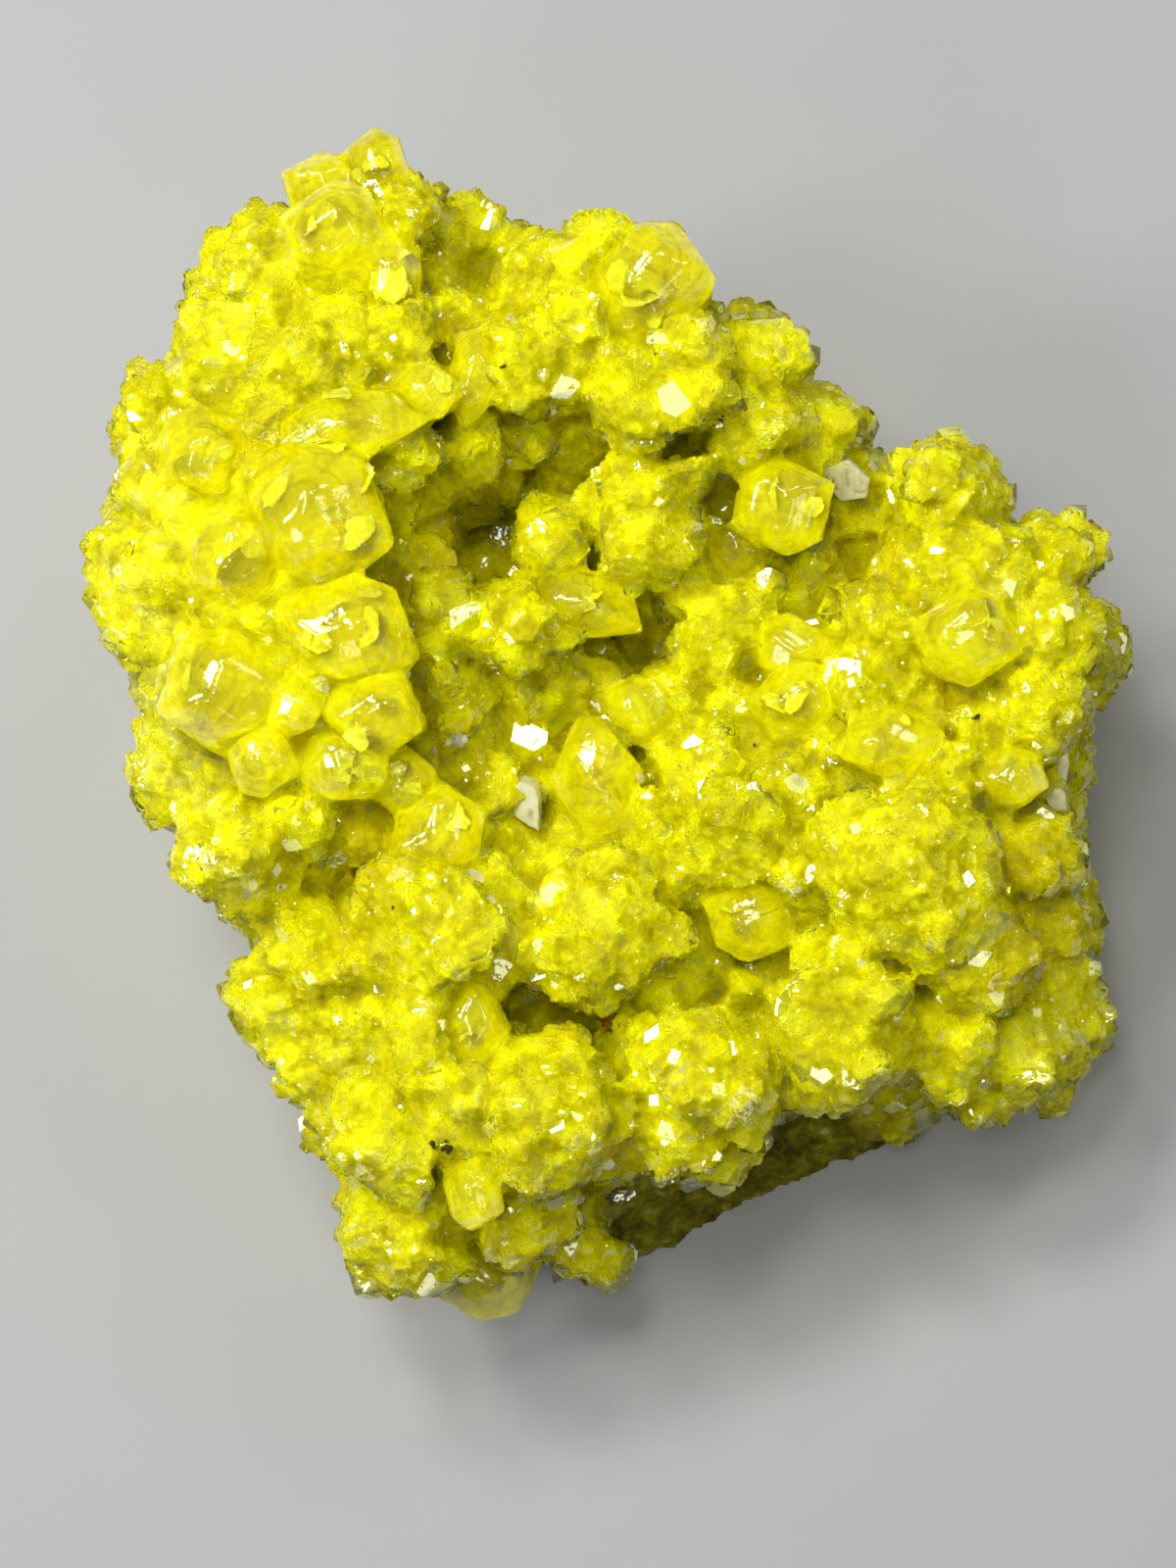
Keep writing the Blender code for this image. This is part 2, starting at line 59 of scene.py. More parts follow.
# Clear crystals, in the solids' order: u, v, w of the middle, half width, half height, turn in degrees.
CLEAR = [
    (-26, 19.3, 9.5, 5.4, 5.8, 0), (-23.5, 9, 8.71, 5.2, 4.3, -10), (-35, 3.5, 8.58, 4.7, 4.7, 0),
    (-21.5, 1.5, 7.3, 4, 3.7, 10), (-24, -3.3, 6.65, 4.2, 2.8, -15), (-31.5, -2.5, 7.74, 2.8, 3.3, 0),
    (-28.5, 2, 9.19, 2.4, 2.4, 0), (-18.6, -5, 4.94, 2.3, 2.8, 0), (-24, 27.5, 7.48, 6, 2.7, 12),
    (-37, 25.5, 5.46, 3.7, 3.7, 0), (-33.8, 15.5, 9.16, 4, 4.4, 0), (-12.5, 32.5, 3.33, 2, 3.8, -8),
    (-16.6, 30.8, 5.4, 2.6, 2.6, 0), (16.3, 20.8, -0.3, 3.8, 3.9, 0), (12, 17, -3.63, 2.5, 2.8, 0),
    (-2.2, 11.7, -1.37, 4.9, 2.6, -12), (-1, -4.2, 1.03, 3.2, 4.8, 10), (17, 7.6, -1.11, 2.8, 2.8, 0),
    (17.5, 2.7, 1.01, 3.2, 3.2, 0), (3, 2, -1.73, 2.9, 2.9, 0), (33, 8.5, 4.63, 3.9, 3.9, 0),
    (26, -1.3, 4.37, 4, 2.9, 0), (-15.7, -10, 4.25, 3.7, 4.4, 0), (-12.5, -27, 6.06, 2.5, 4, 0),
    (13.3, -17.3, 3.6, 3.4, 3.2, 0), (-20, 41.5, 2.21, 2.5, 4.2, 8), (4, 41, 1.95, 4.6, 5.2, 0),
    (-12.2, -42, 7.19, 2.3, 3.2, 0), (-21.4, 52, -2.21, 2.6, 3.6, 0), (-26.3, 50.5, -2.73, 3.2, 2.9, 0),
    (37, -4.5, 4.3, 2.7, 2.5, 0), (-11.7, -51, -7.15, 4.4, 4, 0), (-25, 46, 2.74, 4, 3.6, 0),
]
CLEAR_SPREAD = 1.14  # how far the whole crystals reach beyond those half sizes
CRYSTAL_SEED = 7  # as in the solids, so that each crystal has the same form
EDGE_SHARPNESS = 22  # of their softened edges; higher is sharper

# Orthorhombic sulfur: axis ratios, and the faces of its dipyramid with how far each lies from the middle.
AXES = Vector((0.813, 1.0, 1.903))
FORMS = [((1, 1, 1), 0.94), ((1, 1, 3), 0.98), ((0, 1, 1), 0.95), ((0, 0, 1), 1.02)]

# Powdery cream sulfur, mostly along the left rim: u, v, radius.
CREAM = [
    (-41.5, 20.5, 3.5), (-39.5, 17, 2.5), (-44.5, 12, 4), (-40, 7.5, 2.8), (-41, 4, 3), (-42, -2, 3.5),
    (-38.5, -4, 3), (-35.5, 39.5, 3.5), (-37, -8, 2.5), (-43, 26, 2.5), (-34, -14, 2.2), (-30, -26, 2),
    (-31, 45, 2.5), (-36, 33, 2), (6, -31, 1.4), (-1.5, -16.5, 1.6), (25, -24, 1.2),
    (-13, -33, 2.5), (36, 13, 2), (-10, -19, 2), (-24, -30, 2.2), (-20, -40, 2), (39, -29, 2.4), (33, -20, 2),
]
# Crevices painted golden and darker, as painted shade: u, v, radius.
GOLDEN_SHADE_SPOTS = [
    (-31, 27, 3.5), (-22, -10, 3), (-21.5, -13.5, 3.5), (-23, -19.5, 3), (31, 3, 3), (1.5, -38.7, 2),
    (-28.5, -0.5, 2), (38.5, -13, 4.5), (39, -18, 4.5), (37, -22, 3.5), (-12, 18, 6), (3, 9, 3),
    (-30, 22.5, 2), (-5, -26.5, 3), (-14, 36, 3), (24, 16, 4),
]

# The massive sulfur's skin, in mm: low crystals grown together over the solids' form, larger in the crevices.
SKIN_SEED = 11
TRIED_SPOTS = 60000  # random places that are tried for a lump
LUMP_SPACING = 2.3
LUMP_SIZE = 2.1
CREVICE_GROWTH = 0.9  # how much larger a lump is deep in a crevice
CREVICE_RADIUS = 4.5  # how far round a spot the surface tells whether it lies in a crevice
LUMP_REACH = 1.3  # no lump grows in a clear crystal drawn this many times its size
FOOT = 4  # above the underside, below which nothing stands out of the walls
SKIN_VOXEL = 0.5  # of the skin before it is thinned
SKIN_TRIANGLES = 192000  # of the skin after that

GRAIN_SHAPES = 16  # different little crystals, which all the grains share
SPECK_SHAPES = 6
SPECK_REACH = 0.8  # mm round a speck, in which the skin's highest point carries it

VEIL_SEED = 23
VEILS_PER_SIZE = 0.8  # veils for each mm of a clear crystal's size

# Calcite chips: outline in mm, half thickness, turn in degrees.
CHIPS = {
    "calcite_chip_white": (
        [(-1.1, 1.3), (-0.2, 2.3), (1.1, 1.8), (1.5, 0.7), (1.3, -1.0), (1.4, -2.3), (0.5, -1.9),
         (-1.0, -0.9)], 1.1, 0,
    ),
    "calcite_plate_upper": (
        [(-2.3, 1.4), (-1.0, 2.3), (1.3, 1.7), (2.4, -0.6), (1.5, -2.1), (-0.8, -1.6)], 0.55, 20,
    ),
    "calcite_chip_lower": (
        [(-1.5, 0.8), (-0.3, 1.3), (1.5, 0.9), (1.6, -0.5), (0.6, -1.3), (-1.4, -0.9)], 1.0, 5,
    ),
    "calcite_chip_right": ([(-0.9, 0.9), (0.2, 1.3), (1.1, 0.4), (0.9, -1.1), (-0.6, -1.0)], 0.9, 10),
    "calcite_blade_right": ([(-0.45, 1.7), (0.35, 1.9), (0.6, -0.3), (0.3, -1.8), (-0.5, -1.2)], 0.8, 0),
}
CHIP_BEVEL = 0.14  # mm, of the chips' softened edges
CHIP_EDGE = 0.35  # mm, beyond which an edge of a chip's mesh is divided

# Foreign bodies, each kind with its seed: u, v, lift above the skin, half sizes along u and v, grains in it.
SPECKS = {
    "dark_specks": (41, [
        (-21.8, 27.7, -0.6, 1.5, 0.45, 14), (-15, -37.8, 0.0, 0.9, 0.5, 8), (33.8, 1.2, 0.1, 0.45, 0.35, 4),
        (-37.2, 25.9, -0.5, 0.6, 0.4, 5), (-20.8, 25.9, 0.05, 0.3, 0.2, 3), (10.5, 28.4, 0.05, 0.35, 0.3, 3),
        (-9.5, 33.2, 0.05, 0.3, 0.2, 2), (13.6, -1.4, 0.05, 0.25, 0.3, 2), (-19.5, -16, 0.05, 0.2, 0.2, 2),
    ]),
    "rust_specks": (42, [(0, -26.6, 0.1, 0.7, 1.1, 16)]),
    "pale_specks": (43, [
        (3, -4.3, 0.3, 0.4, 0.7, 3), (-19, -4, 0.3, 0.8, 0.5, 4), (-14, -0.8, 0.3, 0.7, 0.8, 4),
        (-16, -1.8, 0.3, 0.5, 0.4, 3), (27, 27, 0.2, 0.5, 0.4, 3), (-9, 38, 0.2, 0.4, 0.4, 3),
    ]),
}

SUGAR_SEED = 5
SUGAR_REACH = 1.12  # no sugary crystal grows in a clear one drawn this many times its size
# Glassy little crystals all over the face, in mm: name, spacing, size, unevenness, share sunk, lean.
SUGAR = [
    ("sugar_coarse", 2.4, 1.15, 0.3, 0.5, 0.4), ("sugar_medium", 1.5, 0.75, 0.3, 0.4, 0.4),
    ("sugar_fine", 0.92, 0.38, 0.3, 0.25, 0.35),
]

# Small softboxes round the specimen: u, v, w in mm and power in watts. Many small ones make many glints.
LAMPS = [
    (-300, 240, 300, 0.48), (-180, 330, 330, 0.42), (-350, 60, 270, 0.34), (-90, 210, 430, 0.29),
    (140, 320, 320, 0.12), (330, 140, 280, 0.07), (330, -130, 270, 0.05), (20, -340, 300, 0.05),
    (-220, -190, 350, 0.13), (-60, 60, 520, 0.19),
]
LAMP_SIZE = 95  # mm
LAMP_COLOUR = "#FFFFEE"

# The camera, in mm: its distance from the face, and the height and middle of what it takes in there.
CAMERA_AWAY = 400.0
FRAME_HEIGHT = 145.45
FRAME_MIDDLE = (-1.8, -5.0)
FLOOR_REACH = 1.5  # m from the floor's middle to each edge


def to_face(points):
    """From resting metres to face coordinates in mm, for an array of points."""
    return (points / MM - FACE_MIDDLE) @ TURN


def to_rest(points):
    """From face coordinates in mm to resting metres, for an array of points."""
    return MM * (points @ TURN.T + FACE_MIDDLE)


def linear(hex_colour):
    """An sRGB hex colour as linear RGBA."""
    channels = [int(hex_colour[i : i + 2], 16) / 255 for i in (1, 3, 5)]
    return tuple(c / 12.92 if c <= 0.04045 else ((c + 0.055) / 1.055) ** 2.4 for c in channels) + (1.0,)


def smooth(value, low, high):
    """0 at low, 1 at high, with soft ends; low may be above high."""
    share = np.clip((value - low) / (high - low), 0, 1)
    return share * share * (3 - 2 * share)


# ---- geometry ----

def read(items, name, width, kind=np.float32):
    """A value of each vertex or edge of a mesh, as an array with one row for each."""
    values = np.empty(len(items) * width, kind)
    items.foreach_get(name, values)
    return values.reshape(-1, width)


def points_of(data):
    return read(data.vertices, "co", 3).astype(np.float64)


def normals_of(data):
    return read(data.vertex_normals, "vector", 3).astype(np.float64)


def edges_of(data):
    return read(data.edges, "vertices", 2, np.int32)


def set_points(data, points):
    data.vertices.foreach_set("co", points.astype(np.float32).ravel())
    data.update()


def relaxed(values, edges, rounds):
    """Values at vertices, averaged with their neighbours this many times."""
    ends = np.concatenate([edges, edges[:, ::-1]])
    count = len(values)
    shares = np.bincount(ends[:, 0], minlength=count)[:, None]
    for _ in range(rounds):
        sums = [np.bincount(ends[:, 0], values[ends[:, 1], axis], count) for axis in range(values.shape[1])]
        values = 0.5 * values + 0.5 * np.stack(sums, axis=1) / shares
    return values


def rough(points, size):
    """Noise at each point, about -1 to 1, with swells of this size."""
    return np.array([noise.noise(Vector(point)) for point in points / size])


def mesh_from(name, points, faces):
    """A mesh from an array of points and an array of triangles."""
    data = bpy.data.meshes.new(name)
    data.from_pydata(points.tolist(), [], faces.tolist())
    data.update()
    return data


def set_share(data, name, values):
    """Stores a 0 to 1 share at each vertex, for a material to read."""
    stored = data.attributes.new(name, "FLOAT", "POINT").data
    stored.foreach_set("value", np.clip(values, 0, 1).astype(np.float32))


def patches(place, rows):
    """1 in the middle of each round patch of the face, 0 outside, frayed by noise."""
    frayed = place[:, :2] + 1.2 * np.stack([rough(place + 5, 2.5), rough(place + 55, 2.5)], axis=1)
    share = np.zeros(len(place))
    for u, v, radius in rows:
        away = np.hypot(frayed[:, 0] - u, frayed[:, 1] - v)
        share = np.maximum(share, 1 - smooth(away, 0.5 * radius, 1.2 * radius))
    return share


def placed(name, data):
    """A new object in the scene."""
    made = bpy.data.objects.new(name, data)
    bpy.context.scene.collection.objects.link(made)
    return made


def make_object(name, data, finish, slot, *replaced):
    """A piece of the specimen, in place of the solids named last."""
    made = placed(name, data)
    data.materials.clear()
    data.materials.append(finish)
    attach(made, "root")
    if replaced:
        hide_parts(*replaced)
    return made


def add_mesh(name, points, faces, finish, slot):
    """A piece of flat facets, from points in face coordinates."""
    return make_object(name, mesh_from(name, to_rest(points), faces), finish, slot)


def applied(data, kind, **settings):
    """The mesh with one modifier applied."""
    helper = placed("helper", data)
    modifier = helper.modifiers.new(kind, kind)
    for key, value in settings.items():
        setattr(modifier, key, value)
    made = bpy.data.meshes.new_from_object(helper.evaluated_get(bpy.context.evaluated_depsgraph_get()))
    bpy.data.objects.remove(helper)
    return made


def without_crumbs(data):
    """Keeps the main body and deletes the loose crumbs that the voxels leave beside it."""
    mesh = bmesh.new()
    mesh.from_mesh(data)
    seen, body = set(), set()
    for first in mesh.verts:
        if first in seen:
            continue
        group, waiting = {first}, [first]
        while waiting:
            vertex = waiting.pop()
            fresh = {edge.other_vert(vertex) for edge in vertex.link_edges} - group
            group |= fresh
            waiting += fresh
        seen |= group
        body = max(body, group, key=len)
    bmesh.ops.delete(mesh, geom=[vertex for vertex in mesh.verts if vertex not in body], context="VERTS")
    mesh.to_mesh(data)
    mesh.free()
    return data


def taken_from(mesh):
    """The points and triangles of a bmesh, which is then freed."""
    points = np.array([vertex.co for vertex in mesh.verts])
    faces = np.array([[vertex.index for vertex in face.verts] for face in mesh.faces])
    mesh.free()
    return points, faces


def joined(parts):
    """The points and triangles of one mesh, from those of many."""
    starts = np.cumsum([0] + [len(points) for points, _ in parts[:-1]])
    faces = [triangles + start for (_, triangles), start in zip(parts, starts)]
    return np.concatenate([points for points, _ in parts]), np.concatenate(faces)


def cut_by(planes):
    """Points and triangles of a closed solid bounded by planes, each a direction and a distance."""
    mesh = bmesh.new()
    bmesh.ops.create_cube(mesh, size=4)
    for direction, distance in planes:
        cut = bmesh.ops.bisect_plane(
            mesh, geom=mesh.verts[:] + mesh.edges[:] + mesh.faces[:], dist=1e-5, clear_outer=True,
            plane_co=direction * distance, plane_no=direction,
        )
        rim = [edge for edge in cut["geom_cut"] if isinstance(edge, bmesh.types.BMEdge)]
        if rim:
            bmesh.ops.contextual_create(mesh, geom=rim)
    bmesh.ops.remove_doubles(mesh, verts=mesh.verts, dist=0.02)
    bmesh.ops.recalc_face_normals(mesh, faces=mesh.faces)
    bmesh.ops.triangulate(mesh, faces=mesh.faces)
    return taken_from(mesh)


def crystal_planes(chance):
    """The faces of one dipyramid, each a little nearer or farther than its twin."""
    planes = []
    for indices, distance in FORMS:
        for signs in ((x, y, z) for x in (1, -1) for y in (1, -1) for z in (1, -1)):
            direction = Vector(s * h / a for s, h, a in zip(signs, indices, AXES)).normalized()
            if all((direction - other).length > 0.01 for other, _ in planes):
                planes.append((direction, distance * chance.uniform(0.93, 1.05)))
    return planes


def lump_planes(chance):
    """The eight faces of a steep dipyramid, skewed, with both its points cut off."""
    planes = [(Vector((0, 0, sign)), chance.uniform(0.7, 1.0)) for sign in (1, -1)]
    for z in (1, -1):
        for x, y in ((1, 1), (-1, -1), (1, -1), (-1, 1)):
            skewed = Vector(size + chance.uniform(-0.2, 0.2) for size in (0.75 * x, 0.62 * y, 0.42 * z))
            planes.append((skewed.normalized(), chance.uniform(0.62, 0.95)))
    return planes


def low_planes(chance):
    """A low crystal: a small top, five leaning faces round it and a flat foot."""
    top = Vector((chance.uniform(-0.15, 0.15), chance.uniform(-0.15, 0.15), 1))
    planes = [(Vector((0, 0, -1)), 0.25), (top, 0.6)]
    first = chance.uniform(0, 6.28)
    for fifth in range(5):
        bearing = first + fifth * 1.257 + chance.uniform(-0.3, 0.3)
        tilt = chance.uniform(0.75, 1.2)
        across = math.sin(tilt)
        leaning = Vector((across * math.cos(bearing), across * math.sin(bearing), math.cos(tilt)))
        planes.append((leaning, chance.uniform(0.55, 0.7)))
    return [(normal.normalized(), reach) for normal, reach in planes]


def ball(subdivisions):
    """Points and triangles of an icosphere of radius 1."""
    mesh = bmesh.new()
    bmesh.ops.create_icosphere(mesh, subdivisions=subdivisions, radius=1)
    return taken_from(mesh)


def towards(points, planes):
    """How far each point lies towards each plane: 0 in the middle, 1 on the plane and more beyond it."""
    outward = np.array([direction for direction, _ in planes])
    distances = np.array([distance for _, distance in planes])
    return points @ outward.T / distances


def rounded(directions, planes, sharpness):
    """How far a solid bounded by planes reaches in each direction, with its edges rounded over."""
    share = np.clip(towards(directions, planes), 1e-3, None)
    return (share**sharpness).sum(axis=1) ** (-1 / sharpness)


def spread(points, faces, count, chance):
    """Random places all over a mesh of triangles, and the outward direction at each."""
    corners = points[faces]
    across = np.cross(corners[:, 1] - corners[:, 0], corners[:, 2] - corners[:, 0])
    areas = np.linalg.norm(across, axis=1)
    chosen = chance.choice(len(faces), count, p=areas / areas.sum())
    first, second = chance.random((2, count, 1))
    over = first + second > 1
    first, second = np.where(over, 1 - first, first), np.where(over, 1 - second, second)
    corner = corners[chosen]
    spots = corner[:, 0] + first * (corner[:, 1] - corner[:, 0]) + second * (corner[:, 2] - corner[:, 0])
    return spots, across[chosen] / areas[chosen, None]


def thinned(points, spacing, order):
    """Indices of points in this order, leaving out any that lies nearer than spacing to one already taken."""
    cells = np.floor(points * math.sqrt(3) / spacing).astype(int)
    around = [(x, y, z) for x in range(-2, 3) for y in range(-2, 3) for z in range(-2, 3)]
    taken, found = {}, []
    for i in order:
        x, y, z = cells[i]
        if (x, y, z) in taken:
            continue
        near = [taken[x + a, y + b, z + c] for a, b, c in around if (x + a, y + b, z + c) in taken]
        if not near or np.min(np.sum((points[near] - points[i]) ** 2, axis=1)) > spacing**2:
            taken[x, y, z] = i
            found.append(i)
    return np.array(found)


def closed_in(points, normals, radius):
    """How far, on average, the points round each one rise above its tangent plane, as a share of radius."""
    tree = KDTree(len(points))
    for i, point in enumerate(points):
        tree.insert(point, i)
    tree.balance()
    rises = []
    for point, normal in zip(points, normals):
        near = np.array([other for other, _, _ in tree.find_range(point, radius)])
        rises.append(((near - point) @ normal).mean() / radius)
    return np.array(rises)


def grains(planes_of, places, normals, sizes, chance, sink, lean):
    """Small faceted crystals at these places, standing roughly out of the skin."""
    templates = [cut_by(planes_of(random.Random(n))) for n in range(GRAIN_SHAPES)]
    count = len(places)
    kinds = chance.integers(0, len(templates), count)
    sink = np.broadcast_to(sink, count)
    up = normals + chance.normal(0, lean, (count, 3))
    up /= np.linalg.norm(up, axis=1)[:, None]
    side = np.cross(up, chance.normal(size=(count, 3)))
    side /= np.linalg.norm(side, axis=1)[:, None]
    third = np.cross(up, side)
    wide = sizes * chance.uniform(0.8, 1.2, count)
    tall = sizes * chance.uniform(0.9, 1.1, count)
    parts = []
    for kind, (shape, triangles) in enumerate(templates):
        mine = np.flatnonzero(kinds == kind)
        spot = (
            shape[None, :, 0, None] * (side[mine] * wide[mine, None])[:, None, :]
            + shape[None, :, 1, None] * (third[mine] * sizes[mine, None])[:, None, :]
            + shape[None, :, 2, None] * (up[mine] * tall[mine, None])[:, None, :]
            + (places[mine] - normals[mine] * (sizes[mine] * sink[mine])[:, None])[:, None, :]
        )
        starts = len(shape) * np.arange(len(mine))
        parts.append((spot.reshape(-1, 3), (triangles[None] + starts[:, None, None]).reshape(-1, 3)))
    return joined(parts)


# ---- pieces ----

def clear_shapes():
    """Each clear crystal's middle, and the matrix and planes that shape it, as in the solids."""
    chance = random.Random(CRYSTAL_SEED)
    shapes = []
    for u, v, w, half_u, half_v, turn in CLEAR:
        planes = crystal_planes(chance)
        lean = chance.uniform(-0.5, 0.5)
        spin = Euler((lean, chance.uniform(-0.4, 0.4), chance.uniform(-0.5, 0.5))).to_matrix()
        size = Matrix.Diagonal((half_u, half_v, (half_u + half_v) / 2)) * CLEAR_SPREAD
        shape = Matrix.Rotation(math.radians(turn), 3, "Z") @ size @ spin
        shapes.append((np.array((u, v, w)), shape, planes))
    return shapes


def depth_in(points, middle, shape, planes):
    """0 at a crystal's middle, 1 on its faces and more outside."""
    return towards((points - middle) @ np.array(shape.inverted()).T, planes).max(axis=1)


def over_clear(points, shapes, reach):
    """True where a point lies in a clear crystal drawn reach times its size."""
    found = np.zeros(len(points), bool)
    for middle, shape, planes in shapes:
        found |= depth_in(points, middle, shape, planes) < reach
    return found


def facing_up(place, out):
    """1 on the crystal face, 0 on the broken walls."""
    return smooth(place[:, 2], -15, -8) * smooth(out[:, 2], -0.4, 0.1)


def solid_form():
    """The massive sulfur as the solids have it: points in face coordinates, and triangles."""
    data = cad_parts["sulfur_cluster"].data.copy()
    mesh = bmesh.new()
    mesh.from_mesh(data)
    bmesh.ops.remove_doubles(mesh, verts=mesh.verts, dist=1e-6)
    bmesh.ops.triangulate(mesh, faces=mesh.faces)
    mesh.to_mesh(data)
    mesh.free()
    return to_face(points_of(data)), np.array([polygon.vertices[:] for polygon in data.polygons])


def lumps(points, faces, shapes):
    """Low crystals grown out of the solids' form, close together on the face and sparser on the walls."""
    chance = np.random.default_rng(SKIN_SEED)
    spots, normals = spread(points, faces, TRIED_SPOTS, chance)
    order = chance.permutation(len(spots))
    order = order[chance.random(len(order)) < 0.25 + 0.75 * facing_up(spots, normals)[order]]
    order = order[to_rest(spots)[order, 2] > FOOT * MM]
    order = order[~over_clear(spots, shapes, LUMP_REACH)[order]]
    found = thinned(spots, LUMP_SPACING, order)
    upper = facing_up(spots, normals)[found]
    crevice = smooth(closed_in(spots[found], normals[found], CREVICE_RADIUS), 0.0, 0.22) * upper
    sizes = (LUMP_SIZE + CREVICE_GROWTH * crevice) * chance.lognormal(0, 0.33, len(found))
    return grains(lump_planes, spots[found], normals[found], sizes, chance, 0.82 - 0.4 * crevice, 0.5)


def skin_mesh(shapes):
    """The massive sulfur: the solids' form, with low crystal faces and a granular surface worked over it."""
    form = solid_form()
    points, faces = joined([form, lumps(*form, shapes)])
    fine = mesh_from("skin", to_rest(points), faces)
    fine = applied(fine, "REMESH", mode="VOXEL", voxel_size=SKIN_VOXEL * MM)
    points, normals = points_of(fine), normals_of(fine)
    place = to_face(points)
    bumps = 0.10 * rough(place, 0.9) + 0.12 * rough(place + 31, 1.7)
    walls = 1 - facing_up(place, normals @ TURN)
    broken = 0.6 * rough(place + 7, 4.5) + 0.4 * rough(place + 17, 2.2) + 0.2 * rough(place + 23, 1.2)
    bumps += walls * broken
    points += normals * (bumps * MM)[:, None]
    place = to_face(points)
    for middle, shape, planes in shapes:  # a hollow under each clear crystal, so that it stays see-through
        depth = depth_in(place, middle, shape, planes)
        inside = (1 - smooth(depth, 1.02, 1.3))[:, None]
        flat = place * (1, 1, 0) + (0, 0, middle[2] + 0.1 * shape.median_scale)
        place += inside * (0.75 * (flat - place))
    points = to_rest(place)
    points[:, 2] = np.maximum(points[:, 2], 0)
    set_points(fine, points)
    ratio = SKIN_TRIANGLES / (2 * len(fine.polygons))
    return without_crumbs(applied(fine, "DECIMATE", decimate_type="COLLAPSE", ratio=ratio))


def clear_mesh(shapes):
    """All the clear crystals: the solids' dipyramids with softened edges and faint growth steps."""
    ball_points, ball_faces = ball(5)
    parts = []
    for number, (middle, shape, planes) in enumerate(shapes):
        local = ball_points * rounded(ball_points, planes, EDGE_SHARPNESS)[:, None]
        steps = 0.006 * np.sin(local[:, 2] * 30 + 4 * rough(local + number, 0.8))
        local *= (1.01 + steps + 0.015 * rough(local + 3 * number, 0.5))[:, None]
        parts.append((local @ np.array(shape).T + middle, ball_faces))
    return joined(parts)


def veil_mesh(shapes):
    """Healed fractures inside the larger clear crystals: thin, feathery, curved discs."""
    chance = np.random.default_rng(VEIL_SEED)
    disc, disc_faces = ball(3)
    parts = []
    for middle, shape, _ in shapes:
        size = shape.median_scale
        for _ in range(int(size * VEILS_PER_SIZE)):
            shift = len(disc) * len(parts)  # so that no two have the same noise
            wide, long = chance.uniform(0.10, 0.34, 2)
            turn = np.array(Euler(chance.uniform(-1.3, 1.3, 3)).to_matrix())
            local = disc * (wide, long, 0.012)
            local *= (1 + 0.35 * rough(disc + 9 * shift, 0.35))[:, None]
            bowl = 0.5 * (local[:, 0] ** 2 - 0.6 * local[:, 1] ** 2)
            local[:, 2] += bowl + 0.03 * rough(local + shift, 0.15)
            place = chance.normal(0, 0.3, 3).clip(-0.5, 0.5) * (1, 1, 0.5) + (0, 0, 0.35)
            parts.append((middle + size * (local @ turn.T + place), disc_faces))
    return joined(parts)


def top_at(skin, u, v):
    """The height w of the skin's highest point round a place on the face."""
    near = np.hypot(skin[:, 0] - u, skin[:, 1] - v) < SPECK_REACH
    return skin[near, 2].max()


def specks(skin, rows, seed):
    """Irregular little bodies at places on the face, as the rows of SPECKS give them."""
    chance = np.random.default_rng(seed)
    templates = [cut_by(lump_planes(random.Random(seed + n))) for n in range(SPECK_SHAPES)]
    parts = []
    for u, v, lift, half_u, half_v, count in rows:
        base = top_at(skin, u, v) + lift
        for _ in range(count):
            shape, triangles = templates[chance.integers(len(templates))]
            across = chance.normal(0, 0.5, 2).clip(-0.9, 0.9) * (half_u, half_v)
            size = 0.5 * min(half_u, half_v) * chance.uniform(0.6, 1.5)
            turn = np.array(Euler(chance.uniform(-3, 3, 3)).to_matrix())
            spot = np.array((u + across[0], v + across[1], base + chance.uniform(-0.3, 0.3) * size))
            parts.append(((shape * chance.uniform(0.6, 1.4, 3) * size) @ turn.T + spot, triangles))
    return joined(parts)


def chip_mesh(name, outline, thick, turn):
    """A cleaved chip: an outline in mm, thick through, with softened and slightly uneven edges."""
    low, high = (to_face(np.array(corner)[None])[0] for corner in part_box(name))
    middle = (low + high) / 2
    mesh = bmesh.new()
    bottom = [mesh.verts.new((x * 1.06, y * 1.06, -thick)) for x, y in outline]
    top = [mesh.verts.new((x + 0.12, y - 0.08, thick + 0.12 * x)) for x, y in outline]
    mesh.faces.new(bottom[::-1])
    mesh.faces.new(top)
    for i in range(len(outline)):
        j = (i + 1) % len(outline)
        mesh.faces.new((bottom[i], bottom[j], top[j], top[i]))
    bmesh.ops.bevel(mesh, geom=mesh.edges[:], offset=CHIP_BEVEL, segments=2, profile=0.6, affect="EDGES")
    bmesh.ops.triangulate(mesh, faces=mesh.faces)
    for _ in range(3):
        long_edges = [edge for edge in mesh.edges if edge.calc_length() > CHIP_EDGE]
        bmesh.ops.subdivide_edges(mesh, edges=long_edges, cuts=1)
        bmesh.ops.triangulate(mesh, faces=mesh.faces)
    lean = Euler((0.22, -0.18, math.radians(turn))).to_matrix()
    for vertex in mesh.verts:
        vertex.co += 0.07 * vertex.co.normalized() * noise.noise(vertex.co * 1.4 + Vector((9, 2, thick)))
        vertex.co = lean @ vertex.co + Vector(middle)
        vertex.co = to_rest(np.array(vertex.co))
    data = bpy.data.meshes.new(name)
    mesh.to_mesh(data)
    mesh.free()
    data.shade_smooth()
    data.set_sharp_from_angle(angle=math.radians(40))
    return data


# ---- materials ----

def feed(made, **inputs):
    """Gives a node's inputs their values, or links them to the sockets that drive them."""
    for key, value in inputs.items():
        socket = made.inputs[int(key[1:]) if key[1:].isdigit() else key.replace("_", " ")]
        if isinstance(value, bpy.types.NodeSocket):
            made.id_data.links.new(value, socket)
        else:
            socket.default_value = value


